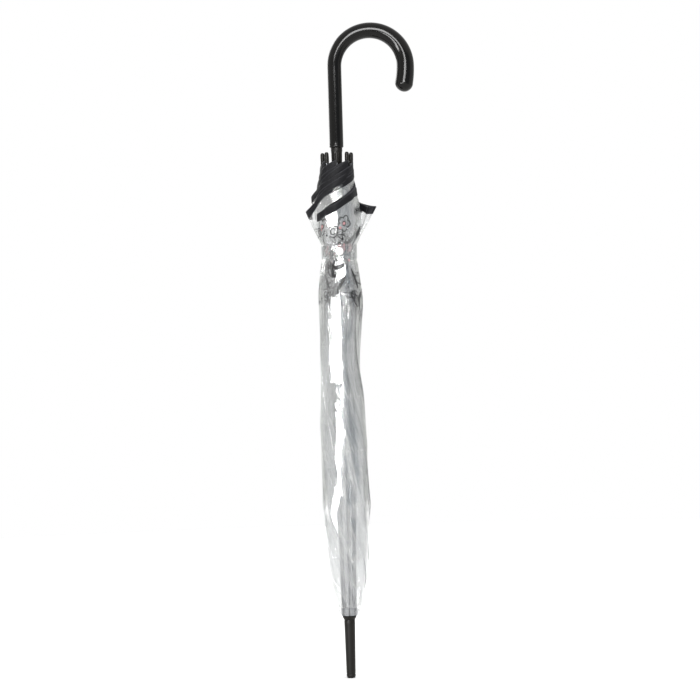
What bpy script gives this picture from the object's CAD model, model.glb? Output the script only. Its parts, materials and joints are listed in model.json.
"""Looks of a clear bubble umbrella, furled and fastened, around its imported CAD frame.

Metres, +Z up, the CAD's own frame. The film of each gore is one pleat, folded in two and wrapped
clockwise (seen from above) round the ribs. A point of the film has two coordinates: q, from 0 at its
own rib, through the fold at one half, to 1 at the next rib, and r, its distance along the rib from
the crown. Each half gore bends between its two ribs, with weights solved so that the film is spread
evenly when the canopy is open.
"""

import json
import math

import bpy
import numpy as np
from mathutils import Matrix, Vector


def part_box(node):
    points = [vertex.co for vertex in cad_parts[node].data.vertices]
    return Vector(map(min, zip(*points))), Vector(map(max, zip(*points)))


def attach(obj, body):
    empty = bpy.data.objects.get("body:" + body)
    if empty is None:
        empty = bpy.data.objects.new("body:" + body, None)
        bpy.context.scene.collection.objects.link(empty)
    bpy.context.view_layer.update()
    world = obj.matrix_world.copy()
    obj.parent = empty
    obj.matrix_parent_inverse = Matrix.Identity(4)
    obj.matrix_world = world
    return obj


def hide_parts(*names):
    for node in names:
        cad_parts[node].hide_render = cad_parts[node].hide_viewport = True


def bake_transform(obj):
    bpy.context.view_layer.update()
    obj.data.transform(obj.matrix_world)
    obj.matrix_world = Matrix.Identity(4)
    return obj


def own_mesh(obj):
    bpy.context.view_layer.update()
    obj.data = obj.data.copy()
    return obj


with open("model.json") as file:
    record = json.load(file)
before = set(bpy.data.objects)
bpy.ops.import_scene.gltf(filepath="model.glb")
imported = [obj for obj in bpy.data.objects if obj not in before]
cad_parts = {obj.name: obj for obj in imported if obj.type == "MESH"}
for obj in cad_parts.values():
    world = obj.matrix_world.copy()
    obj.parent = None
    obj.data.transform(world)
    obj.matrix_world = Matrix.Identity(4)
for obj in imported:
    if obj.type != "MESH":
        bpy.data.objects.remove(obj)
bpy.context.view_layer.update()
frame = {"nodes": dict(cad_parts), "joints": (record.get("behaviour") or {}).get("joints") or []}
scene = bpy.context.scene

MM = 0.001
RIBS = 8
TURN = 2 * math.pi
SECTOR = TURN / RIBS
JOINT = {j["name"]: j for j in frame["joints"]}
rng = np.random.default_rng(8)

# ---- the frame at rest and open


def joint_at(name):
    return np.array(JOINT[name]["pos_m"], float)


def joint_turn(name):
    """The 4x4 turn of a hinge from rest to its longer limit."""
    joint = JOINT[name]
    angle = math.radians(max(joint["range_deg"], key=abs))
    axis = np.array(joint["axis"], float)
    axis /= np.linalg.norm(axis)
    x, y, z = axis
    cross = np.array([[0, -z, y], [z, 0, -x], [-y, x, 0]])
    turn = np.eye(4)
    turn[:3, :3] += math.sin(angle) * cross + (1 - math.cos(angle)) * cross @ cross
    place = joint_at(name)
    turn[:3, 3] = place - turn[:3, :3] @ place
    return turn


class Rib:
    """A rib's straight line at rest, and where its two halves go when the canopy is open."""

    def __init__(self, number):
        hinge = "canopy_open" if number == 1 else f"rib_hinge_{number}"
        self.pivot = joint_at(hinge)
        self.middle = joint_at(f"rib_flex_{number}")
        line = self.middle - self.pivot
        self.half = float(np.linalg.norm(line))
        self.along = line / self.half
        self.azimuth = math.atan2(self.pivot[1], self.pivot[0])
        self.out = np.array([math.cos(self.azimuth), math.sin(self.azimuth), 0])
        self.side = np.array([-self.out[1], self.out[0], 0])
        self.inner_open = joint_turn(hinge)
        self.outer_open = self.inner_open @ joint_turn(f"rib_flex_{number}")
        tip_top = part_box(f"rib_tip_{number}")[1].z
        self.length = (tip_top - self.pivot[2]) / self.along[2]

    def at(self, r):
        return self.pivot + np.multiply.outer(r, self.along)


ribs = {n: Rib(n) for n in range(1, RIBS + 1)}
first = ribs[1]
HALF = first.half  # from the crown to the middle of a rib
PIVOT_RADIUS = float(np.hypot(*first.pivot[:2]))
RIB_SLOPE = float(np.hypot(*first.along[:2]) / first.along[2])
FLEX_ANGLE = math.radians(abs(JOINT["rib_flex_1"]["range_deg"][0]))


def height_at(r):
    return first.pivot[2] + r * first.along[2]


def rib_radius(z):
    return PIVOT_RADIUS + (z - first.pivot[2]) * RIB_SLOPE


def after(number):
    return number % RIBS + 1


def move(points, matrix):
    return points @ matrix[:3, :3].T + matrix[:3, 3]


def bend(points, start, end, weight):
    """Points part of the way from one 4x4 to another, turning about the axis between them."""
    between = np.linalg.inv(start) @ end
    turn, shift = between[:3, :3], between[:3, 3]
    angle = math.acos(np.clip((np.trace(turn) - 1) / 2, -1, 1))
    axis = np.array([turn[2, 1] - turn[1, 2], turn[0, 2] - turn[2, 0], turn[1, 0] - turn[0, 1]])
    axis /= np.linalg.norm(axis)
    along = (shift @ axis) * axis
    centre = np.linalg.lstsq(np.eye(3) - turn, shift - along, rcond=None)[0]
    arm = points - centre
    cos, sin = np.cos(weight * angle)[:, None], np.sin(weight * angle)[:, None]
    moved = arm * cos + np.cross(axis, arm) * sin + axis * (arm @ axis)[:, None] * (1 - cos)
    return move(moved + centre + weight[:, None] * along, start)


# ---- shape helpers


def smooth(x):
    x = np.clip(x, 0, 1)
    return x * x * (3 - 2 * x)


def outline(points):
    """A smooth curve through [x, y] points that doesn't overshoot them."""
    x, y = np.array(points, float).T
    slope = np.diff(y) / np.diff(x)
    same = slope[:-1] * slope[1:] > 0
    mean = 2 * slope[:-1] * slope[1:] / np.where(same, slope[:-1] + slope[1:], 1)
    tangent = np.concatenate([slope[:1], np.where(same, mean, 0), slope[-1:]])

    def at(value):
        v = np.clip(value, x[0], x[-1])
        k = np.clip(np.searchsorted(x, v) - 1, 0, len(x) - 2)
        width = x[k + 1] - x[k]
        t = (v - x[k]) / width
        return (
            (1 + 2 * t) * (1 - t) ** 2 * y[k]
            + t * (1 - t) ** 2 * width * tangent[k]
            + t * t * (3 - 2 * t) * y[k + 1]
            + t * t * (t - 1) * width * tangent[k + 1]
        )

    return at


def mesh_object(name, points, faces, material, uv=None):
    mesh = bpy.data.meshes.new(name)
    mesh.from_pydata(np.reshape(points, (-1, 3)).tolist(), [], faces)
    mesh.shade_smooth()
    if uv is not None:
        layer = mesh.uv_layers.new(name="UVMap")
        corner = np.zeros(len(mesh.loops), np.int32)
        mesh.loops.foreach_get("vertex_index", corner)
        layer.data.foreach_set("uv", np.reshape(uv, (-1, 2)).astype(np.float32)[corner].ravel())
    mesh.materials.append(material)
    obj = bpy.data.objects.new(name, mesh)
    scene.collection.objects.link(obj)
    return obj


def grid_faces(rows, cols, around=False, first_index=0):
    """Quads of a grid of points, row by row; around joins the last column to the first."""
    k = np.arange(rows * cols).reshape(rows, cols) + first_index
    left = k if around else k[:, :-1]
    right = np.roll(k, -1, 1) if around else k[:, 1:]
    return np.stack([left[:-1], right[:-1], right[1:], left[1:]], -1).reshape(-1, 4).tolist()


def tube_faces(rows, steps, first_index=0):
    """Faces of a closed tube: its rings, row by row, and its two ends."""
    faces = grid_faces(rows, steps, around=True, first_index=first_index)
    ends = np.arange(rows * steps).reshape(rows, steps) + first_index
    return faces + [ends[0, ::-1].tolist(), ends[-1].tolist()]


def turns_of(steps):
    """Evenly spaced angles round one turn."""
    return np.arange(steps) * TURN / steps


def polar(radius, angle, height):
    radius, angle, height = np.broadcast_arrays(radius, angle, height)
    return np.stack([radius * np.cos(angle), radius * np.sin(angle), height], -1)


def swept(centres, ups, sides, section, steps=24):
    """Points and faces of a bar along centres: section is its two half widths at each centre."""
    angle = turns_of(steps)
    ring = (
        np.cos(angle)[None, :, None] * (ups * section[:, :1])[:, None]
        + np.sin(angle)[None, :, None] * (sides * section[:, 1:])[:, None]
    )
    return (centres[:, None] + ring).reshape(-1, 3), tube_faces(len(centres), steps)


def lathed(profile, steps=64):
    """Points and faces of a profile of [radius, height] turned about Z."""
    profile = np.array(profile, float)
    points = polar(profile[:, :1], turns_of(steps), profile[:, 1:]).reshape(-1, 3)
    return points, tube_faces(len(profile), steps)


def rounded(profile, radius=0.6 * MM, steps=5):
    """A profile with its inner corners rounded."""
    profile = np.array(profile, float)
    points = [profile[0]]
    for before, corner, following in zip(profile, profile[1:], profile[2:]):
        reach = [
            min(radius, 0.45 * np.linalg.norm(end - corner)) for end in (before, following)
        ]
        start = corner + (before - corner) / np.linalg.norm(before - corner) * reach[0]
        end = corner + (following - corner) / np.linalg.norm(following - corner) * reach[1]
        for t in np.linspace(0, 1, steps):
            points.append((1 - t) ** 2 * start + 2 * t * (1 - t) * corner + t * t * end)
    points.append(profile[-1])
    return np.array(points)


# ---- materials


class Shader:
    """A material's node tree, built one node at a time."""

    def __init__(self, name):
        self.material = bpy.data.materials.new(name)
        self.material.use_nodes = True
        self.tree = self.material.node_tree
        self.tree.nodes.clear()
        self.out = self.tree.nodes.new("ShaderNodeOutputMaterial")

    def add(self, kind, inputs=None, **settings):
        node = self.tree.nodes.new("ShaderNode" + kind)
        for key, value in settings.items():
            setattr(node, key, value)
        for key, value in (inputs or {}).items():
            socket = node.inputs[key]
            if isinstance(value, bpy.types.NodeSocket):
                self.tree.links.new(value, socket)
            else:
                socket.default_value = value
        return node

    def math(self, operation, a, b=0.0, clamp=False):
        node = self.add("Math", {0: a, 1: b}, operation=operation, use_clamp=clamp)
        return node.outputs[0]

    def ramp(self, value, low, high):
        """A value from 0 to 1 taken to the range low to high."""
        node = self.add("MapRange", {"Value": value, "To Min": low, "To Max": high})
        return node.outputs["Result"]

    def noise(self, vector, scale, detail=3.0, roughness=0.5):
        inputs = {"Vector": vector, "Scale": scale, "Detail": detail, "Roughness": roughness}
        return self.add("TexNoise", inputs).outputs["Fac"]

    def ridge(self, *noise):
        """How far a noise is from its middle, which is 0 along winding lines."""
        return self.math("ABSOLUTE", self.math("SUBTRACT", self.noise(*noise), 0.5))

    def line(self, ridge, width, strength):
        """The strength on a ridge's lines, fading to 0 at their width."""
        inputs = {"Value": ridge, "From Max": width, "To Min": strength, "To Max": 0.0}
        return self.add("MapRange", inputs).outputs["Result"]

    def stretched(self, vector, scale):
        return self.add("Mapping", {"Vector": vector, "Scale": scale}).outputs[0]

    def bump(self, height, strength, distance, normal=None):
        inputs = {"Height": height, "Strength": strength, "Distance": distance}
        if normal is not None:
            inputs["Normal"] = normal
        return self.add("Bump", inputs).outputs[0]

    def tint(self, share, one, two):
        """A colour between two, each three numbers or the output of another node."""
        one, two = ((*c, 1) if isinstance(c, (tuple, list)) else c for c in (one, two))
        return self.add("MixRGB", {"Fac": share, "Color1": one, "Color2": two}).outputs[0]

    def mix(self, share, one, two):
        """One surface node where share is 0, the other where it is 1."""
        return self.add("MixShader", {0: share, 1: one.outputs[0], 2: two.outputs[0]})

    def principled(self, colour, rough, **more):
        inputs = {"Base Color": colour, "Roughness": rough}
        inputs.update({key.replace("_", " "): value for key, value in more.items()})
        return self.add("BsdfPrincipled", inputs)

    def finish(self, surface):
        self.tree.links.new(surface.outputs[0], self.out.inputs["Surface"])
        return self.material


def object_place(shader):
    return shader.add("TexCoord").outputs["Object"]


def uv_place(shader):
    return shader.add("TexCoord").outputs["UV"]


def plastic(name, colour, gloss, specular=0.5, grain=0.02, scratches=0.15):
    """A moulded plastic: faint flow and dust in its roughness, fine hairline scratches."""
    s = Shader(name)
    place = object_place(s)
    cloud = s.noise(place, 60.0, 4.0)
    hairline = s.noise(s.stretched(place, (900.0, 900.0, 60.0)), 1.0, 2.0)
    worn = s.ramp(hairline, 0.0, scratches * gloss)
    rough = s.math("ADD", s.ramp(cloud, gloss * 0.75, gloss * 1.3), worn)
    tint = s.tint(cloud, colour, [c * 1.35 for c in colour])
    normal = s.bump(s.noise(place, 340.0, 2.0), grain, 0.2 * MM)
    return s.finish(s.principled(tint, rough, Normal=normal, Specular_IOR_Level=specular))


def metal(name, colour, gloss, streak=(1400.0, 1400.0, 8.0)):
    """A drawn metal: fine lines along it, and faint tarnish."""
    s = Shader(name)
    place = object_place(s)
    drawn = s.noise(s.stretched(place, streak), 1.0, 3.0)
    tarnish = s.noise(place, 45.0, 5.0)
    rough = s.math("ADD", s.ramp(drawn, gloss * 0.7, gloss * 1.2), s.ramp(tarnish, 0.0, 0.12))
    tint = s.tint(tarnish, colour, [c * 0.72 for c in colour])
    normal = s.bump(drawn, 0.08, 0.05 * MM)
    return s.finish(s.principled(tint, rough, Metallic=1.0, Normal=normal))


def clear_film(name, haze, gloss=2.0):
    """Soft clear vinyl: each layer passes nearly all the light, shines at a glancing angle, and has
    fine creases and a trace of milkiness."""
    s = Shader(name)
    place = uv_place(s)
    crease = s.ridge(s.stretched(place, (1.0, 0.10, 1.0)), 170.0, 2.0, 0.6)
    wave = s.noise(s.stretched(place, (1.0, 0.30, 1.0)), 30.0, 1.0)
    normal = s.bump(crease, 1.0, 1.5 * MM, s.bump(wave, 0.5, 1.6 * MM))
    # both faces of a thin sheet reflect as air to vinyl
    behind = s.add("NewGeometry").outputs["Backfacing"]
    fresnel = s.add("Fresnel", {"IOR": s.ramp(behind, 1.5, 1 / 1.5), "Normal": normal}).outputs[0]
    share = s.math("MULTIPLY", fresnel, gloss, clamp=True)
    slant = s.add("LayerWeight", {"Blend": 0.5, "Normal": normal}).outputs["Facing"]
    # fine dark creases along the film, and pale ones that lean across it
    dark = s.line(crease, 0.035, 0.45)
    split = s.add("SeparateXYZ", {0: place})
    leaning = s.math("ADD", split.outputs[0], s.math("MULTIPLY", split.outputs[1], 0.14))
    diagonal = s.add("CombineXYZ", {0: leaning, 1: split.outputs[1]}).outputs[0]
    scratch = s.ridge(s.stretched(diagonal, (1.0, 0.07, 1.0)), 210.0, 1.0, 0.4)
    dim = s.math("ADD", s.math("POWER", slant, 2.5), dark, clamp=True)
    passed = s.tint(dim, (0.980, 0.981, 0.981), (0.80, 0.81, 0.82))
    clear = s.add("BsdfTransparent", {"Color": passed})
    milky = {"Color": (0.93, 0.94, 0.92, 1), "Normal": normal}
    milk = s.mix(0.5, s.add("BsdfDiffuse", milky), s.add("BsdfTranslucent", milky))
    cloudy = s.ramp(s.noise(place, 30.0, 3.0), haze * 0.6, haze * 1.4)
    cloudy = s.math("ADD", cloudy, s.line(scratch, 0.012, 0.40), clamp=True)
    rough = s.ramp(crease, 0.04, 0.16)
    shine = s.add("BsdfGlossy", {"Color": (1, 1, 1, 1), "Roughness": rough, "Normal": normal})
    return s.finish(s.mix(share, s.mix(cloudy, clear, milk), shine))


HEM_WIDTH = 9.6 * MM
TAPE_REPEAT = 20 * MM  # from the tape's outer face to its inner one, in texture space
THREAD = 0.9 * MM  # between the tape's threads
WORN_WIDTH = 1.5 * MM


def binding(name):
    """Black woven tape with a stitched line near each edge."""
    s = Shader(name)
    place = uv_place(s)
    split = s.add("SeparateXYZ", {0: place})
    along, across = split.outputs[0], split.outputs[1]
    warp, weft = (s.math("SINE", s.math("MULTIPLY", c, TURN / THREAD)) for c in (along, across))
    weave = s.math("MULTIPLY", warp, weft)
    fuzz = s.noise(place, 700.0, 3.0)
    soft = s.noise(place, 60.0, 3.0)
    height = s.math("ADD", s.math("MULTIPLY", weave, 0.5), fuzz)
    normal = s.bump(height, 0.3, 0.25 * MM, s.bump(soft, 0.4, 1.2 * MM))
    tint = s.tint(soft, (0.005, 0.005, 0.006), (0.014, 0.014, 0.017))
    # both edges are a little worn and catch the light
    middle = HEM_WIDTH / 2
    off_middle = s.math("SUBTRACT", s.math("MODULO", across, TAPE_REPEAT), middle)
    past = s.math("SUBTRACT", s.math("ABSOLUTE", off_middle), middle - WORN_WIDTH)
    worn = s.math("MAXIMUM", s.ramp(past, 0.0, 1.0 / WORN_WIDTH), 0.0)
    edge = s.math("MULTIPLY", worn, s.ramp(fuzz, 0.3, 1.0), clamp=True)
    cloth = s.principled(
        s.tint(edge, tint, (0.05, 0.05, 0.056)),
        s.ramp(fuzz, 0.42, 0.62),
        Normal=normal,
        Specular_IOR_Level=0.10,
        Sheen_Weight=0.03,
        Sheen_Roughness=0.4,
    )
    return s.finish(cloth)


def ink(name, colour, cover):
    """Printing ink on the film, worn thin in places; cover is how much of the light it stops."""
    s = Shader(name)
    worn = s.noise(uv_place(s), 500.0, 2.0)
    tint = s.tint(worn, colour, [min(1, c * 1.25 + 0.01) for c in colour])
    printed_on = s.principled(tint, s.ramp(worn, 0.25, 0.45))
    bare = s.add("BsdfTransparent", {"Color": (1, 1, 1, 1)})
    covered = s.ramp(worn, cover * 0.85, min(1.0, cover * 1.15))
    return s.finish(s.mix(covered, bare, printed_on))


GLOSS_BLACK = plastic("gloss_black_plastic", (0.0045, 0.0042, 0.0038), 0.10, specular=0.2, grain=0.004)
SATIN_BLACK = plastic("satin_black_plastic", (0.0085, 0.0075, 0.006), 0.34, specular=0.16, grain=0.05)
WHITE_PLASTIC = plastic("white_plastic", (0.82, 0.82, 0.80), 0.3, grain=0.04)
RIB_STEEL = metal("rib_steel", (0.17, 0.175, 0.185), 0.3)
GREY_PLASTIC = plastic("grey_plastic", (0.22, 0.225, 0.235), 0.35, grain=0.04)
WIRE_STEEL = metal("wire_steel", (0.6, 0.6, 0.6), 0.25)
SHAFT_METAL = metal("shaft_metal", (0.62, 0.63, 0.65), 0.26)
FILM = clear_film("clear_film", 0.03)
STRAP_FILM = clear_film("strap_film", 0.02, 1.2)
TAPE = binding("black_binding")
INK_BLACK = ink("ink_black", (0.006, 0.006, 0.007), 0.95)
INK_PINK = ink("ink_pink", (0.86, 0.36, 0.37), 0.42)

# ---- the furled film

FILM_LIFT = 1.9 * MM  # from a rib's centreline to the film that is tied to it
FILM_START = 5 * MM
HEM_AT = first.length - 11 * MM  # the hem meets the tip cap's mouth
BULGE_UPPER, BULGE_LOWER = 13 * MM, 7 * MM  # how far a bent rib bows out of its straight chord

# How many degrees round the bundle a pleat reaches, by distance along the rib.
FULL_WRAP = 275
WRAP = outline(
    [(0, 46), (0.020, 72), (0.050, 112), (0.100, 158), (0.145, 186), (0.200, 208), (0.290, 245),
     (0.400, FULL_WRAP), (0.581, FULL_WRAP)]
)
# The bundle's outer radius by height, in mm. Above the flare only the roots of the pleats are left.
BUNDLE = outline(
    MM * np.array([
        (79, 13), (95, 16.5), (110, 19.8), (125, 23.2), (141, 25.6), (156, 27.6), (179, 28.4),
        (200, 28.8), (224, 30.2), (262, 29.6), (300, 29), (354, 28), (400, 26.2), (440, 26.4),
        (480, 27.8), (505, 26.5), (522, 24), (534, 21.4), (544, 21.4), (555, 25.5), (575, 30),
        (597, 30.2), (612, 27.8), (627, 25.6), (655, 21.5),
    ])
)
# The furled film is looser on one side than on the other: how far its middle is off the axis.
DRIFT = outline(
    MM * np.array([
        (300, 0), (360, -1.8), (410, -3.2), (440, -1.5), (480, 1.2), (520, 0), (575, 0), (600, -1.2),
        (615, -2.8), (635, -2.4), (655, -1.6),
    ])
)

# Each gore: its wrap at the hem in degrees; the hem's fall from rib to fold in mm; how the fall is
# spread; how much sooner the inner layer falls; how many mm more the fold's corner falls; and how many
# mm the fold stands out above the strap.
HEM = {
    1: (225, 54, 1.30, 1.10, 4, 8),
    2: (220, 54, 0.55, 1.00, 6, 20),
    3: (214, 37, 0.60, 1.00, 2, -4),
    4: (250, 58.4, 1.06, 0.80, 4, 3),
    5: (236, 66, 0.87, 0.80, 3, 1),
    6: (220, 46, 0.94, 1.00, 19, 13),
    7: (196, 42, 1.10, 1.10, 6, 5),
    8: (226, 54, 1.30, 1.10, 4, 8),
}
HEM_EASE = 0.10  # how much of the way to the fold the hem takes to level out
# how much of that stands out, by height
FLARE = outline([(0.548, 0), (0.554, 0.06), (0.570, 0.36), (0.589, 0.74), (0.5957, 0.90), (0.603, 1.0)])
FACET = 0.50  # how flat the furled film is between two folds
# the film's pleats: height, and length across and along the sheet, in mm
PLEATS = ((0.9, 17, 310), (0.6, 9, 190), (0.35, 5.5, 120))
WAVES = rng.uniform(-1, 1, (RIBS + 1, 6, 4))
BUNDLE_RADIUS = 25 * MM  # the furled film's usual one


def wrap_at(gore, r):
    """The angle from a gore's rib to its fold."""
    change = math.radians(HEM[gore][0] - FULL_WRAP)
    return np.radians(WRAP(r)) + change * smooth((r - 0.43) / 0.11)


def bulge(r):
    """How far the film stands off its rib's chord, as the bent rib does when the canopy is open."""
    upper = 4 * BULGE_UPPER * (r / HALF) * (1 - r / HALF)
    x = (r - HALF) / (first.length - HALF)
    lower = 4 * BULGE_LOWER * x * (1 - x)
    return np.where(r < HALF, upper, lower * (1 - 0.8 * smooth((r - 0.40) / 0.05)))


def outer_radius(gore, a, r, wrap):
    """Radius of a pleat's outer layer at the angle a past its rib."""
    z = height_at(r)
    share = np.clip(a / wrap, 0, 1)
    near = rib_radius(z) + FILM_LIFT + bulge(r)
    far = np.maximum(BUNDLE(z), near + 1.0 * MM)
    flare = HEM[gore][5] * MM * FLARE(z) * smooth((share - 0.76) / 0.24) ** 1.4
    # the film is out at its full radius sooner near the crown
    rise = 0.9 - 0.45 * (1 - smooth((r - 0.14) / 0.16))
    return near + (far - near) * share**rise + flare


def film_at(gore, q, r):
    """Points of the furled film, and their share of the way from one rib to the next when open."""
    q, r = np.broadcast_arrays(q, r)
    wrap = wrap_at(gore, r)
    outer = q <= 0.5
    from_fold = np.abs(2 * q - 1)
    a = np.where(outer, wrap * 2 * q, wrap - (wrap - SECTOR) * (2 * q - 1))
    walked = np.where(outer, a, 2 * wrap - a)
    share = walked / (2 * wrap - SECTOR)
    z = height_at(r)
    own = outer_radius(gore, a, r, wrap)
    below = outer_radius(after(gore), a - SECTOR, r, wrap_at(after(gore), r))
    # the inner layer leaves the fold in a round turn, and ends at the next rib
    width = (wrap - SECTOR) * own
    turned = np.sqrt(1 - (1 - np.clip(from_fold * width / (1.2 * MM), 0, 1)) ** 2)
    depth = 0.5 * turned + 0.5 * smooth((from_fold - 0.55) / 0.45)
    radius = np.where(outer, own, own + (np.minimum(below, own) - own) * depth)
    # pleats: waves across the sheet that drift slowly along it
    free = smooth(from_side(q) / 0.10) * smooth((r - 0.02) / 0.06)
    calm = 1 - 0.75 * np.exp(-(((z - 0.539) / 0.018) ** 2)) - 0.5 * smooth((z - 0.59) / 0.03)
    wave = np.zeros_like(radius)
    for k, (size, across, along) in enumerate(PLEATS):
        phase, tilt, second, sway = WAVES[gore, k]
        angle = walked * BUNDLE_RADIUS / (across * MM) + phase * 6 + (z / (along * MM)) * (2.2 + tilt)
        wave += size * MM * np.sin(angle + np.sin(z * 30 + second * 6) * (1 + sway))
    radius = radius + wave * free * calm * smooth((radius - rib_radius(z) - 1.5 * MM) / (4 * MM))
    azimuth = ribs[gore].azimuth - a
    # flat facets between folds, and a slow irregular swell, the same for all layers
    looseness = np.clip((radius - rib_radius(z) - FILM_LIFT) / (10 * MM), 0, 1) * smooth((r - 0.03) / 0.06)
    facet = np.mod(azimuth - first.azimuth + np.radians(WRAP(r)), SECTOR) - SECTOR / 2
    flat = math.cos(SECTOR / 2) / np.cos(facet) - 1
    swell = 0.022 * np.sin(3 * azimuth + 9 * z + 1) + 0.018 * np.sin(5 * azimuth - 21 * z + 4)
    swell = swell + 0.012 * np.sin(8 * azimuth + 34 * z)
    radius = radius * (1 + (FACET * flat + swell * calm) * looseness)
    drift = DRIFT(z) * looseness * free
    points = polar(radius, azimuth, z)
    points[..., 0] += drift
    return points, share


def from_side(q):
    """How far q is from the nearer rib."""
    return 0.5 - np.abs(q - 0.5)


def hem_at(gore, q):
    """Distance along the rib at which the hem cuts the film."""
    _, fall, spread, sooner, corner, _ = HEM[gore]
    outer = q <= 0.5
    share = np.where(outer, 2 * q, 2 - 2 * q)
    # the cut's edge is a smooth curve through the middle of the gore
    eased = share - np.maximum(share - 1 + HEM_EASE, 0) ** 2 / (2 * HEM_EASE)
    drop = fall * MM * np.where(outer, eased**spread, eased ** (spread * sooner))
    return HEM_AT - drop - corner * MM * smooth((share - 0.74) / 0.26)


def open_width(r):
    """The film's taut width from rib to rib when the canopy is open, which is its cut width."""
    second = ribs[2]
    upper = move(first.at(r), first.inner_open) - move(second.at(r), second.inner_open)
    lower = move(first.at(r), first.outer_open) - move(second.at(r), second.outer_open)
    return np.where(r < HALF, np.linalg.norm(upper, axis=-1), np.linalg.norm(lower, axis=-1))


def q_of(gore, share, r):
    """The coordinate q of a point at that share of the cut width."""
    wrap = wrap_at(gore, r)
    walked = share * (2 * wrap - SECTOR)
    return np.where(walked <= wrap, 0.5 * walked / wrap, 0.5 + 0.5 * (walked - wrap) / (wrap - SECTOR))


def open_weights(gore, lower, points, share):
    """Weights that spread points evenly between the two ribs when the canopy is open."""
    one, two = ribs[gore], ribs[after(gore)]
    start, end = (one.outer_open, two.outer_open) if lower else (one.inner_open, two.inner_open)
    low, high = np.full(len(points), -0.35), np.full(len(points), 1.35)
    target = one.azimuth - SECTOR * share
    for _ in range(34):
        middle = (low + high) / 2
        x, y, _ = bend(points, start, end, middle).T
        early = np.mod(np.arctan2(y, x) - target + math.pi, TURN) > math.pi
        low, high = np.where(early, middle, low), np.where(early, high, middle)
    solved = (low + high) / 2
    near_crown = 1 - smooth((points[:, 2] - height_at(0.012)) / 0.04)
    return solved + (share - solved) * near_crown


def blend_between(obj):
    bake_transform(obj)


def blend_film(obj, gore, lower, points, share):
    """Bends obj between its gore's two ribs. The points are those of the film that it lies on."""
    weights = open_weights(gore, lower, points.reshape(-1, 3), share.ravel())
    blend_between(obj)
    return obj


ARM = 44  # columns from a rib to the fold
fold_near = (np.arange(ARM + 1) / ARM) ** 1.6
COLUMNS = np.concatenate([0.5 - 0.5 * fold_near[::-1], 0.5 + 0.5 * fold_near[1:]])


def film_piece(gore, lower):
    half = "lower" if lower else "upper"
    rows = 88
    down = np.linspace(0, 1, rows)[:, None]
    q = COLUMNS[None, :] + 0 * down
    if lower:
        top = hem_at(gore, q) - 0.4 * MM
        r = HALF + (top - HALF) * down
    else:
        r = FILM_START + (HALF - FILM_START) * down + 0 * q
    points, share = film_at(gore, q, r)
    uv = np.stack([(share - 0.5) * open_width(r) + 0.4 * gore, r], -1)
    faces = grid_faces(rows, q.shape[1])
    obj = mesh_object(f"film_{half}_{gore}", points, faces, FILM, uv)
    blend_film(obj, gore, lower, points, share)
    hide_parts(f"gore_{half}_{gore}")
    return obj


def normals_of(gore, q, r):
    """Unit normals of the furled film, on its outer side."""
    step = 2e-4
    across = film_at(gore, np.clip(q + step, 0, 1), r)[0] - film_at(gore, np.clip(q - step, 0, 1), r)[0]
    along = film_at(gore, q, r + step)[0] - film_at(gore, q, r - step)[0]
    normal = np.cross(along, across)
    return normal / np.linalg.norm(normal, axis=-1, keepdims=True)


# The tape's section: distance below the film's edge as a share of its width, and mm off its surface.
HEM_FACE = [(1, 0.25), (0.98, 0.5), (0.6, 0.6), (0.12, 0.62), (0.02, 0.5)]
HEM_SECTION = np.array([(x, -y) for x, y in HEM_FACE] + [(-0.05, 0)] + HEM_FACE[::-1])


def hem_piece(gore):
    """The black tape that binds the film's edge, folded over it."""
    q = COLUMNS[None, :]
    below = HEM_SECTION[:, :1] * HEM_WIDTH
    r = hem_at(gore, q) - below
    surface, share = film_at(gore, q, r)
    normal = normals_of(gore, *np.broadcast_arrays(q, r))
    points = surface + normal * HEM_SECTION[:, 1:, None] * MM
    across = below + TAPE_REPEAT * (HEM_SECTION[:, 1:] > 0) + 0 * share
    uv = np.stack([share * open_width(np.array(HEM_AT)), across], -1)
    obj = mesh_object(f"hem_{gore}", points, grid_faces(len(below), q.shape[1]), TAPE, uv)
    return blend_film(obj, gore, True, surface, share)


STITCH, STITCH_PITCH = 2.0 * MM, 3.2 * MM
# a stitch's section: lift off the film, and mm to each side
STITCH_LIFT, STITCH_SIDE = np.array([0.60, 0.78, 0.60]) * MM, np.array([-0.2, 0.0, 0.2]) * MM


def stitches(gore):
    """Thread showing as short dashes along the hem's inner edge, on both faces."""
    width = float(open_width(np.array(HEM_AT)))
    centres = np.arange(STITCH_PITCH, width - STITCH_PITCH, STITCH_PITCH)
    x = (centres[:, None] + np.array([-0.5, 0.5]) * STITCH) / width
    q = q_of(gore, x, np.full(x.shape, HEM_AT - 0.03))
    r = hem_at(gore, q) - HEM_WIDTH * 0.86
    surface, share = film_at(gore, q, r)
    normal = normals_of(gore, q, r)
    lifts = np.multiply.outer((-1, 1), normal[:, :, None] * STITCH_LIFT[:, None])
    points = surface[:, :, None] + lifts
    points[..., 2] += STITCH_SIDE
    starts = range(0, points[..., 0].size, 6)
    faces = [(k + a, k + a + 1, k + a + 4, k + a + 3) for k in starts for a in (0, 1)]
    obj = mesh_object(f"hem_thread_{gore}", points, faces, TAPE, 0 * points[..., :2])
    below = np.broadcast_to(surface[:, :, None], points.shape)
    shares = np.broadcast_to(share[:, :, None], points.shape[:-1])
    return blend_film(obj, gore, True, below, shares)


# ---- the print


PETALS = 5


def circle(x, y, radius, start=0.0, end=TURN):
    steps = max(8, int(abs(end - start) * radius / (1.1 * MM)))
    t = np.linspace(start, end, steps + 1)
    return np.stack([x + radius * np.cos(t), y + radius * np.sin(t)], -1)


def flower(x, y, size, turn):
    t = np.linspace(0, TURN, 12 * PETALS + 1)
    radius = size * (0.62 + 0.38 * np.abs(np.cos(PETALS * t / 2)) ** 0.7)
    return np.stack([x + radius * np.cos(t + turn), y + radius * np.sin(t + turn)], -1)


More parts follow.
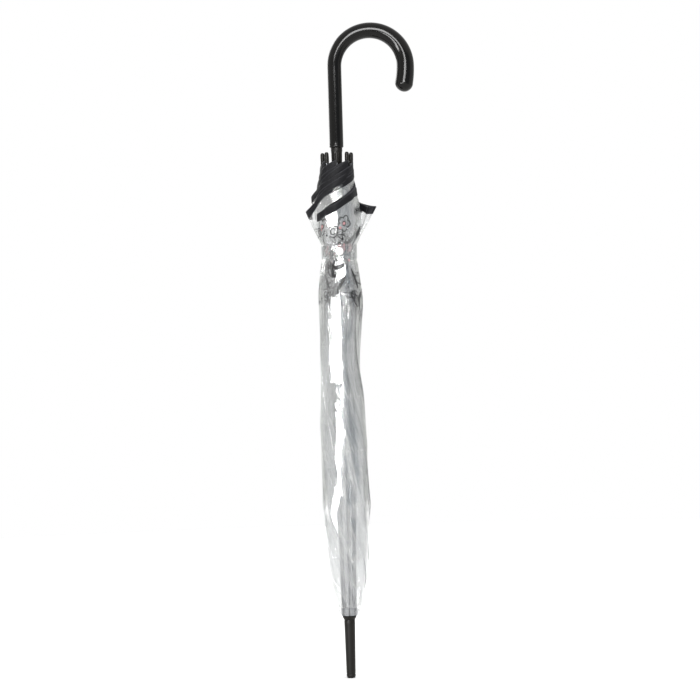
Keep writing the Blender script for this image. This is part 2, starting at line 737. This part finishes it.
def turned(x, y, along, across, turn):
    c, s = math.cos(turn), math.sin(turn)
    return np.stack([x + along * c - across * s, y + along * s + across * c], -1)


def heart(x, y, size, turn):
    t = np.linspace(0, TURN, 40)
    across = 16 * np.sin(t) ** 3 / 17
    up = (13 * np.cos(t) - 5 * np.cos(2 * t) - 2 * np.cos(3 * t) - np.cos(4 * t)) / 17
    return turned(x, y, size * across, size * up, turn)


def leaf(x, y, size, turn, slim=0.32):
    t = np.linspace(0, TURN, 26)
    along, across = size * np.cos(t), size * slim * np.sin(t) * (1 - 0.35 * np.cos(t))
    return turned(x, y, along, across, turn)


def spray(x, y, size, turn, bend_by):
    """A curved stem."""
    t = np.linspace(0, 1, max(8, int(size / (1.5 * MM))))
    angle = turn + bend_by * t
    step = size / (len(t) - 1)
    return np.stack([x + np.cumsum(np.cos(angle)) * step, y + np.cumsum(np.sin(angle)) * step], -1)


MOTIFS = 13
PRINT = 0.372, 0.492  # where the print starts and ends along the rib
DOTS = 14
PINK_ABOVE = 0.43  # the pink shapes are all near the strap
PATCHED = 3
PATCH_HEIGHT, PATCH_AZIMUTH = 0.563, math.radians(-16)
FRONT = math.radians(-90)
# heavy black leaves below the strap: degrees from the front, height, half length in mm, slimness, turn
BOLD = (
    (-41, 0.497, 15, 0.17, 1.33),
    (-22, 0.513, 7, 0.50, 1.20),
    (-34, 0.523, 9, 0.26, 0.25),
    (43, 0.505, 14, 0.14, 1.25),
)


def on_outside(gore, azimuth, height):
    """Where an azimuth and a height of a gore's outer layer lie on its flat cut, and how near to
    the fold that is."""
    r = (height - first.pivot[2]) / first.along[2]
    wrap = wrap_at(gore, r)
    walked = np.mod(ribs[gore].azimuth - azimuth, TURN)
    x = (walked / (2 * wrap - SECTOR) - 0.5) * float(open_width(np.array(r)))
    return x, r, walked / wrap


def patch():
    """The kite-shaped black mark at the film's right edge, on the flat cut."""
    x, r, _ = on_outside(PATCHED, PATCH_AZIMUTH, PATCH_HEIGHT)
    corners = np.array([(0, 8.5), (8, -1.5), (0, -8.5), (-8, 2.5), (0, 8.5)]) * MM
    sides = [np.linspace(a, b, 6)[:-1] for a, b in zip(corners, corners[1:])]
    return np.concatenate(sides + [corners[:1]]) + (x, r)


def bold_leaves(gore):
    """The heavy leaves for which this gore is the outermost one."""
    leaves = []
    for degrees, height, size, slim, turn in BOLD:
        spots = {g: on_outside(g, FRONT + math.radians(degrees), height) for g in ribs}
        outermost = max((g for g in ribs if spots[g][2] < 0.95), key=lambda g: spots[g][2])
        if gore == outermost:
            leaves.append(leaf(*spots[gore][:2], size * MM, turn, slim))
    return leaves


def motif(gore):
    """Black lines, black shapes and pink shapes of one gore's print, on its flat cut: x from the
    gore's middle, y along the rib."""
    pick = np.random.default_rng(100 + gore).uniform
    lines, blacks, pinks = [], [], []
    bottom, top = PRINT
    for k in range(MOTIFS):
        x = pick(-0.085, 0.085)
        y = bottom + (top - bottom) * (k + pick(0.1, 0.9)) / MOTIFS
        size, turn = pick(7, 12) * MM, pick(-0.7, 0.7)
        kind = k % 4
        if kind == 0:
            lines += [flower(x, y, size, turn), circle(x, y, size * 0.26)]
            pinks.append(circle(x, y, size * 0.24))
            stem = spray(x, y - size, 26 * MM, -math.pi / 2 + turn, pick(-1.4, 1.4))
            lines.append(stem)
            blacks.append(leaf(*stem[len(stem) // 2], 6 * MM, turn + 0.8))
        elif kind == 1:
            pinks.append(heart(x, y, size * 0.8, turn))
            lines.append(heart(x, y, size * 1.02, turn))
        elif kind == 2:
            lines.append(leaf(x, y, size, turn + 1.2))
            lines.append(leaf(x + size * 0.9, y + size * 0.5, size * 0.8, turn + 0.3))
            blacks.append(leaf(x - size * 0.9, y + size * 0.3, size * 0.8, turn + 2.3))
            lines.append(spray(x, y, 20 * MM, turn, pick(2, 4)))
        else:
            lines += [circle(x, y, size * 0.7, 0.6, 5.6), circle(x, y, size * 0.35, 3.6, 8.8)]
            blacks.append(circle(x + size, y - size * 0.4, 1.4 * MM))
            pinks.append(circle(x - size, y + size * 0.4, 1.8 * MM))
    blacks += bold_leaves(gore)
    for _ in range(4):
        x, y = pick(-0.075, 0.075), pick(0.388, 0.424)
        blacks.append(leaf(x, y, pick(7, 11) * MM, pick(1.2, 2.2), pick(0.15, 0.25)))
        lines.append(spray(x, y, 18 * MM, pick(-2, 0), pick(-3, 3)))
    if gore == PATCHED:
        blacks.append(patch())
    for _ in range(DOTS):
        blacks.append(circle(pick(-0.08, 0.08), pick(bottom, top), pick(0.5, 1.1) * MM))
    return lines, blacks, [shape for shape in pinks if shape[:, 1].mean() > PINK_ABOVE]


def on_film(gore, flat, lift):
    """Points of the cut laid on the furled film, just off its outer side."""
    r = flat[:, 1]
    q = q_of(gore, 0.5 + flat[:, 0] / open_width(r), r)
    surface, share = film_at(gore, q, r)
    return surface + normals_of(gore, q, r) * lift, surface, share


LINE = 1.40 * MM  # the widest that a printed line gets


def printed(name, gore, lines, shapes, material, lift):
    flats, faces = [], []
    count = 0
    for line in lines:
        along = np.gradient(line, axis=0)
        along /= np.linalg.norm(along, axis=1, keepdims=True) + 1e-12
        off = np.stack([-along[:, 1], along[:, 0]], -1)
        t = np.linspace(0, 1, len(line))
        half = LINE / 2 * (0.55 + 0.45 * np.sin(math.pi * t))[:, None]
        flats.append(np.stack([line - off * half, line + off * half], 1).reshape(-1, 2))
        faces += grid_faces(len(line), 2, first_index=count)
        count += 2 * len(line)
    for shape in shapes:
        middle = shape[:-1].mean(0)
        rings = [middle + (shape[:-1] - middle) * k for k in (0.05, 0.35, 0.7, 1.0)]
        flats.append(np.concatenate(rings))
        faces += grid_faces(4, len(shape) - 1, around=True, first_index=count)
        faces.append([count + k for k in range(len(shape) - 1)])
        count += 4 * (len(shape) - 1)
    flat = np.concatenate(flats)
    points, surface, share = on_film(gore, flat, lift)
    obj = mesh_object(name, points, faces, material, flat)
    return blend_film(obj, gore, True, surface, share)


def gore_area(start, end):
    """The cut's area from one distance along the rib to another."""
    r = np.linspace(start, end, 200)
    return float(np.trapz(open_width(r), r))


upper_area = gore_area(FILM_START, HALF)
upper_flat = (float(open_width(np.array(HALF - 1e-6))), HALF - FILM_START)
lower_flat = (float(np.max(open_width(np.linspace(HALF + 1e-6, HEM_AT, 60)))), HEM_AT - HALF)
for gore in ribs:
    upper = film_piece(gore, False)
    lower = film_piece(gore, True)
    hem = hem_piece(gore)
    thread = stitches(gore)
    lines, blacks, pinks = motif(gore)
    black = printed(f"print_black_{gore}", gore, lines, blacks, INK_BLACK, 0.16 * MM)
    pink = printed(f"print_pink_{gore}", gore, [], pinks, INK_PINK, 0.10 * MM)
    # the hem's curve cuts away a part
    q = np.linspace(0, 1, 201)
    lost = float(np.trapz((HEM_AT - hem_at(gore, q)) * open_width(np.array(HEM_AT)), q))
    area = min(gore_area(HALF, HEM_AT) - lost, lower_flat[0] * lower_flat[1])

# ---- rigid pieces


def ride_all(body, obj):
    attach(obj, body)


BODY = "shaft_frame"


def lathe_piece(name, profile, replaced=None, material=SATIN_BLACK):
    """A turned piece on the shaft, in place of a CAD node. Its profile is [radius, height] in mm."""
    points, faces = lathed(rounded(np.array(profile) * MM))
    obj = mesh_object(name, points, faces, material)
    ride_all(BODY, obj)
    if replaced:
        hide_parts(replaced)


def box_mm(node):
    """A node's low and high corner, in mm."""
    return (np.array(corner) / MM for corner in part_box(node))


# ferrule: a slightly tapered sleeve with a rounded foot and a fine step below the cap
_, (wide, _, top) = box_mm("ferrule")
foot = wide * 0.84
lathe_piece(
    "ferrule_sleeve",
    [(0, 0), (foot * 0.80, 0), (foot, 1.6), (foot, 4.0), (foot * 0.955, 4.4), (foot * 0.97, 5.4),
     (foot, 5.8), (wide * 0.985, top - 6), (wide, top - 5.6), (wide, top), (0, top)],
    "ferrule",
)
# cap: a flared cup that clamps the gathered film
(_, _, foot), (wide, _, top) = box_mm("crown_cap")
lathe_piece(
    "crown_cup",
    [(0, foot), (6.95, foot), (7.3, foot + 1.2), (wide - 0.2, top - 1.6), (wide, top - 0.8),
     (wide - 0.5, top), (wide - 1.4, top - 0.6), (0, top - 1.0)],
    "crown_cap",
)
# shaft: a drawn tube
(_, _, foot), (wide, _, top) = box_mm("shaft")
tube = [(0, foot), (wide, foot), (wide, top), (0, top)]
lathe_piece("shaft_tube", tube, "shaft", SHAFT_METAL)

# crook handle
low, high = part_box("crook_handle")
GRIP = -low.x
CROOK = 45 * MM
STRAIGHT = high.z - GRIP * 1.15 - CROOK - low.z
END_RADIUS, END_LENGTH = 120 * MM, 34 * MM
END_GRIP = GRIP + 2.7 * MM


def crook_line(s):
    """Centreline place and turn from straight up, at a length along the grip."""
    turn = np.clip((s - STRAIGHT) / CROOK, 0, math.pi)
    past = np.maximum(s - STRAIGHT - math.pi * CROOK, 0) / END_RADIUS
    x = CROOK * (1 - np.cos(turn)) - END_RADIUS * (1 - np.cos(past))
    z = np.minimum(s, STRAIGHT) + low.z + CROOK * np.sin(turn) - END_RADIUS * np.sin(past)
    return x, z, turn + past


total = STRAIGHT + math.pi * CROOK + END_LENGTH
# rings of the grip, as [length along it, radius]: a rounded foot, a body that widens, a domed end
foot_rings = np.array([(0, 0), (0, -1.6), (0.45, -0.6), (1.4, 0), (2.6, 0), (3.4, -0.12), (4.2, 0)]) * MM
foot_rings[1:, 1] += GRIP
s = np.linspace(9 * MM, total - END_GRIP, 150)
widening = np.maximum(0, (s - STRAIGHT) / (total - STRAIGHT))
body_rings = np.stack([s, GRIP + (END_GRIP - GRIP) * widening], -1)
t = np.linspace(0, math.pi / 2, 16)[1:]
dome = np.stack([total - END_GRIP + END_GRIP * np.sin(t), END_GRIP * np.cos(t)], -1)
rings = np.concatenate([foot_rings, body_rings, dome])
x, z, turn = crook_line(rings[:, 0])
centres = np.stack([x, 0 * x, z], -1)
ups = np.stack([np.cos(turn), 0 * x, -np.sin(turn)], -1)
sides = np.tile([0.0, 1.0, 0.0], (len(x), 1))
points, faces = swept(centres, ups, sides, rings[:, [1, 1]], 56)
handle = mesh_object("crook_grip", points, faces, GLOSS_BLACK)
ride_all(BODY, handle)
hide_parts("crook_handle")

# neck: the sleeve that leads the shaft into the grip
top = low.z / MM + 1.5
lathe_piece(
    "grip_neck",
    [(5.15, top - 24), (5.9, top - 24), (6.6, top - 22), (6.9, top - 8), (7.3, top - 5), (7.3, top),
     (5.15, top)],
)

# ribs, tips and stretchers
RIB_BAR = outline([(-0.002, 0.3), (0.0, 2.0), (0.003, 1.7), (0.006, 1.25), (0.009, 1.5), (0.02, 1.5)])
RIB_FLAT = outline([(-0.002, 0.6), (0.0, 0.7), (0.006, 0.7), (0.009, 1.4), (0.012, 1.5)])
STRETCHER_AT = float(np.dot(joint_at("stretcher_hinge_1") - first.pivot, first.along))


def rib_weights(r):
    """0 on the inner half, 1 on the outer half, and between them so that the open rib is a bow."""
    inner = 4 * BULGE_UPPER * (1 - (HALF - r) / HALF) / (HALF * FLEX_ANGLE)
    rest = first.length - HALF
    outer = 1 - 4 * BULGE_LOWER * (1 - (r - HALF) / rest) / (rest * FLEX_ANGLE)
    return inner + (outer - inner) * smooth((r - HALF) / (80 * MM) + 0.5)


BAR_SIDES = 16
RIB_STEPS = np.concatenate([np.linspace(-0.002, 0.012, 15), np.linspace(0.016, HEM_AT + 4 * MM, 110)])
# the lug's outline: round, and drawn out to the rib
LUG_POINTS, LUG_HALF = 28, 0.6 * MM
lug_rise = np.maximum(0, np.sin(turns_of(LUG_POINTS)))
LUG_DOWN = np.cos(turns_of(LUG_POINTS)) * (2.0 + 1.4 * lug_rise) * MM
LUG_OUT = np.sin(turns_of(LUG_POINTS)) * 1.9 * (1.0 + 0.9 * lug_rise) * MM
# half a profile of a tip cap, in mm, and of a stretcher's pin
TIP = [(1.2, 0), (2.35, 0), (2.7, 0.6), (2.7, 2.2), (2.45, 2.6), (2.45, 3.2), (2.7, 3.6), (2.68, 11.2),
       (2.3, 13.0), (1.3, 14.0), (0, 14.0)]
PIN = [(0, -2.7), (1.3, -2.7), (1.5, -2.2), (0.6, -2.1), (0.6, 2.1), (1.5, 2.2), (1.3, 2.7), (0, 2.7)]


def bar(centres, up, side, high, wide):
    """A straight bar along centres, with its two half widths in mm."""
    count = (len(centres), 1)
    section = np.stack([high, wide], -1) * MM
    return swept(centres, np.tile(up, count), np.tile(side, count), section, BAR_SIDES)


for number, rib in ribs.items():
    across = np.cross(rib.side, rib.along)
    points, faces = bar(rib.at(RIB_STEPS), across, rib.side, RIB_BAR(RIB_STEPS), RIB_FLAT(RIB_STEPS))
    weights = np.repeat(rib_weights(np.maximum(RIB_STEPS, 0)), BAR_SIDES)
    # the lug that carries the stretcher's pin
    eye = joint_at(f"stretcher_hinge_{number}")
    to_rib = across * np.sign(across @ rib.out)
    flat_lug = eye + np.multiply.outer(LUG_DOWN, rib.along) + np.multiply.outer(LUG_OUT, to_rib)
    faces += tube_faces(2, LUG_POINTS, first_index=len(points))
    points = np.concatenate([points, flat_lug - rib.side * LUG_HALF, flat_lug + rib.side * LUG_HALF])
    lug_weights = float(rib_weights(np.array(STRETCHER_AT))) * np.clip(LUG_OUT / (3.4 * MM), 0, 1)
    obj = mesh_object(f"rib_{number}", points, faces, RIB_STEEL)
    weights = np.concatenate([weights, lug_weights, lug_weights])
    blend_between(obj)
    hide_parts(f"rib_inner_{number}", f"rib_outer_{number}")

    # tip cap: a ribbed sleeve with a rounded end
    points, faces = lathed(rounded(np.array(TIP) * MM, 0.5 * MM), 32)
    start = rib.at(rib.length - TIP[-1][1] * MM)
    basis = np.stack([across, rib.side, rib.along])
    tip = mesh_object(f"tip_cap_{number}", points @ basis + start, faces, SATIN_BLACK)
    ride_all(f"rib_outer_{number}", tip)
    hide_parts(f"rib_tip_{number}")

    # stretcher: fork at the rib, flat blade in the runner
    top = np.array([*(PIVOT_RADIUS * rib.out[:2]), joint_at("runner_hinge")[2]])
    line = top - eye
    length = float(np.linalg.norm(line))
    line /= length
    fork, blade = np.linspace(-1.8, 12, 15) * MM, length + np.linspace(-12, 1.8, 15) * MM
    s = np.concatenate([fork, np.linspace(0.02, length - 14 * MM, 30), blade])
    wide = outline(
        [(-0.0018, 0.5), (-0.001, 1.5), (0.001, 1.8), (0.006, 1.4), (0.009, 1.2), (length - 0.012, 1.2),
         (length - 0.008, 1.1), (length - 0.002, 1.7), (length + 0.0008, 1.6), (length + 0.0018, 0.4)]
    )
    thick = outline(
        [(-0.0018, 2.0), (0.005, 2.1), (0.009, 1.2), (length - 0.012, 1.2), (length - 0.008, 0.7),
         (length + 0.0018, 0.68)]
    )
    middle_line = eye + np.multiply.outer(s, line)
    points, faces = bar(middle_line, np.cross(rib.side, line), rib.side, wide(s), thick(s))
    pin, pin_faces = lathed(rounded(np.array(PIN) * MM, 0.2 * MM), 20)
    pin_basis = np.stack([rib.out, np.cross(rib.side, rib.out), rib.side])
    faces += [[k + len(points) for k in f] for f in pin_faces]
    points = np.concatenate([points, pin @ pin_basis + eye])
    obj = mesh_object(f"stretcher_rod_{number}", points, faces, RIB_STEEL)
    ride_all(f"stretcher_{number}", obj)
    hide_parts(f"stretcher_{number}")

# nodes that keep their CAD shape: softened edges and their own materials
KEPT = {
    "top_notch": GREY_PLASTIC, "runner": WHITE_PLASTIC, "notch_wire": WIRE_STEEL,
    "runner_wire": WIRE_STEEL, "top_spring": WIRE_STEEL, "bottom_spring": WIRE_STEEL,
}
for name, material in KEPT.items():
    node = frame["nodes"][name]
    node.data.materials.clear()
    node.data.materials.append(material)
    edge = node.modifiers.new("edge", "BEVEL")
    edge.width, edge.segments, edge.limit_method = 0.25 * MM, 2, "ANGLE"
    edge.angle_limit = math.radians(40)
    node.modifiers.new("shading", "WEIGHTED_NORMAL")

# ---- strap, snap and collar

low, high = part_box("strap")
STRAP_HEIGHT = (low.z + high.z) / 2
STRAP_RADIUS = high.x - 0.6 * MM
snap_low, snap_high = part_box("snap_button")
snap_centre = np.array((snap_low + snap_high) / 2)
SNAP_AZIMUTH = math.atan2(snap_centre[1], snap_centre[0])

# a film band that goes once round and overlaps itself at the snap
STRAP_HALF = 8.6 * MM
around = np.linspace(-0.5, TURN + 0.32, 190)
past = around - TURN  # the angle past one whole turn
edge = [(-1, -0.3), (-1, 0.3), (-0.8, 0.42), (0.8, 0.42), (1, 0.3), (1, -0.3), (0.8, -0.42), (-0.8, -0.42)]
profile = np.array(edge)
half_width = STRAP_HALF * (1 - 0.35 * smooth((past - 0.1) / 0.25))
radius = STRAP_RADIUS + 0.8 * MM * smooth((past + 1.2) / 0.9) + 0.25 * MM * np.sin(5 * around + 1)
radius = radius - 0.5 * MM * (1 - smooth((around - around[0]) / 0.6))
angle = SNAP_AZIMUTH - around
middle_z = STRAP_HEIGHT + 0.8 * MM * np.sin(2 * around) * np.sin(around / 2)
height = middle_z[:, None] + half_width[:, None] * profile[:, 0]
points = polar(radius[:, None] + profile[:, 1] * 0.55 * MM, angle[:, None], height)
faces = tube_faces(len(around), len(profile))
along_it, across_it = np.broadcast_arrays(around[:, None] * STRAP_RADIUS, profile[:, 0] * STRAP_HALF)
strap_uv = np.stack([along_it, across_it], -1)
strap = mesh_object("strap_band", points, faces, STRAP_FILM, strap_uv)
ride_all("rib_outer_1", strap)
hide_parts("strap")
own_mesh(strap)

SNAP = [(0, -1.6), (4.4, -1.6), (5.0, -1.1), (5.0, 0.1), (4.7, 0.5), (4.1, 0.55), (3.7, 0.35), (3.3, 0.75),
        (2.2, 1.25), (1.0, 1.4), (0, 1.42)]
points, faces = lathed(rounded(np.array(SNAP) * MM, 0.35 * MM, 4), 48)
out = np.array([math.cos(SNAP_AZIMUTH), math.sin(SNAP_AZIMUTH), 0])
side = np.array([-out[1], out[0], 0])
placed = points @ np.stack([side, np.array([0, 0, 1.0]), out]) + snap_centre
snap = mesh_object("snap_cap", placed, faces, WHITE_PLASTIC)
ride_all("rib_outer_1", snap)
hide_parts("snap_button")

# collar: the end of the film, gathered in pleats into the cap, with its raw edge standing out in a frill
low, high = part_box("crown_cap")
START_Z = height_at(FILM_START) + 1.5 * MM
START_RADIUS = rib_radius(START_Z) + FILM_LIFT


def gathered(name, profile, pleats, ruffle, material):
    """A pleated ring: profile is [radius, height, depth of the pleats] in mm, from its root to its
    free edge, with the radius and height counted from the cap's upper rim."""
    profile = np.array(profile) * MM + (high.x, high.z, 0)
    steps = 320
    around = turns_of(steps)
    fold = np.sin(pleats * around + 1.3 * np.sin(3 * around) + 0.8 * np.sin(5 * around + 2))
    sway = np.sin(ruffle * around + 1.1 * np.sin(2 * around))
    t = np.linspace(0, 1, len(profile))
    level = np.linspace(0, 1, 22)
    radius, height, depth = (outline(np.stack([t, column], -1))(level)[:, None] for column in profile.T)
    rings = polar(radius + depth * fold, around, height + depth * 0.8 * sway)
    uv = np.stack([np.tile(around * 0.035, len(level)), np.repeat(level * 0.012, steps)], -1)
    obj = mesh_object(name, rings, grid_faces(len(level), steps, around=True), material, uv)
    ride_all(BODY, obj)
    return obj


root = (START_RADIUS - high.x) / MM
rise = (START_Z - high.z) / MM
collar = [(-1.3, -0.4, 0.1), (0.4, 2.2, 0.5), (root - 0.2, rise - 2, 0.5), (root + 0.3, rise + 3, 0.3)]
gathered("film_collar", collar, 19, 6, FILM)
frill = [(-1.3, -0.2, 0.1), (0.9, 1.6, 0.5), (3.0, 4.0, 0.9), (4.5, 8.2, 1.1)]
gathered("film_frill", frill, 13, 7, STRAP_FILM)

# ---- the stage

scene.view_settings.view_transform = "Standard"
scene.cycles.transparent_max_bounces = 96
scene.cycles.max_bounces = 10

world = bpy.data.worlds.new("studio")
world.use_nodes = True
world.node_tree.nodes["Background"].inputs["Color"].default_value = (1, 1, 1, 1)
world.node_tree.nodes["Background"].inputs["Strength"].default_value = 1.0
scene.world = world

paper = Shader("stage_paper")
paper_mix = paper.add("BsdfDiffuse", {"Color": (0.93, 0.93, 0.93, 1)})
PAPER = paper.finish(paper_mix)
FLOOR_RADIUS, FLOOR_CORNERS, FLOOR_Z = 2.6, 96, -0.5 * MM
disc = polar(FLOOR_RADIUS, turns_of(FLOOR_CORNERS), FLOOR_Z)
mesh_object("stage_floor", disc, [range(FLOOR_CORNERS)], PAPER)


def glowing(name, points, faces, colour, strength):
    """A card seen only in reflections."""
    s = Shader(name)
    material = s.finish(s.add("Emission", {"Color": (*colour, 1), "Strength": strength}))
    card = mesh_object(name, points, faces, material)
    card.visible_camera = False
    card.visible_shadow = False
    card.visible_diffuse = False


def flag(name, middle, half, brightness, radius=4.2, low=-1.2, high=2.4):
    """A curved card round the object. Angles in degrees, from the front."""
    turns = np.radians(np.linspace(middle - half, middle + half, 25) - 90)
    rows = polar(radius, turns, np.array([[low], [high]]))
    glowing(name, rows, grid_faces(2, 25), brightness, 1.0)


flag("stage_front_card", 0, 20, (0.50, 0.52, 0.54))
flag("stage_left_card", -42, 22, (0.84, 0.84, 0.83))
flag("stage_right_card", 42, 22, (0.34, 0.38, 0.43))
flag("stage_back_card", 180, 70, (0.74, 0.75, 0.73))
flag("stage_window", 12, 13, (1.7, 1.7, 1.7), radius=3.2, low=0.0, high=0.74)
flag("stage_high_window", -2, 13, (26, 26, 26), radius=3.1, low=1.19, high=2.6)


def softbox(name, place, size, power, target=(0, 0, 0.42)):
    light = bpy.data.lights.new(name, "AREA")
    light.shape, light.size, light.size_y, light.energy = "RECTANGLE", size[0], size[1], power
    obj = bpy.data.objects.new(name, light)
    obj.location = place
    obj.rotation_euler = (Vector(target) - Vector(place)).to_track_quat("-Z", "Y").to_euler()
    obj.visible_camera = False
    scene.collection.objects.link(obj)
    return obj


softbox("stage_top", (0.3, -0.6, 3.2), (1.6, 1.6), 46).visible_glossy = False
softbox("stage_rear", (-1.8, 2.6, 1.6), (1.0, 1.6), 22)

# a low strip that runs from the camera round to the left, for the shine inside the crook
ends = [Vector(p) for p in ((-0.3, -3.0, 0.50), (-0.94, -2.6, 0.36), (-1.7, -1.6, 0.22))]
half = Vector((0.04, -0.04, 0.17))
rows = [p + half * k for k in (-1, 1) for p in ends]
glowing("stage_strip", rows, grid_faces(2, len(ends)), (1, 1, 1), 30.0)

FRAME_WIDTH = 0.8868  # what the frame's width takes in at the umbrella's axis
DISTANCE = 3.0
ROLL = math.radians(1.6)  # the umbrella's top leans to the left
centre = Vector((0.00996, 0, 0.4147))
camera_data = bpy.data.cameras.new("camera")
camera_data.sensor_width = 36
camera_data.lens = 36 * DISTANCE / FRAME_WIDTH
camera = bpy.data.objects.new("camera", camera_data)
right = Vector((math.cos(ROLL), 0, -math.sin(ROLL)))
up = Vector((math.sin(ROLL), 0, math.cos(ROLL)))
back = right.cross(up)
place = centre + back * DISTANCE
camera.matrix_world = Matrix([(right[k], up[k], back[k], place[k]) for k in range(3)] + [(0, 0, 0, 1)])
scene.collection.objects.link(camera)
scene.camera = camera
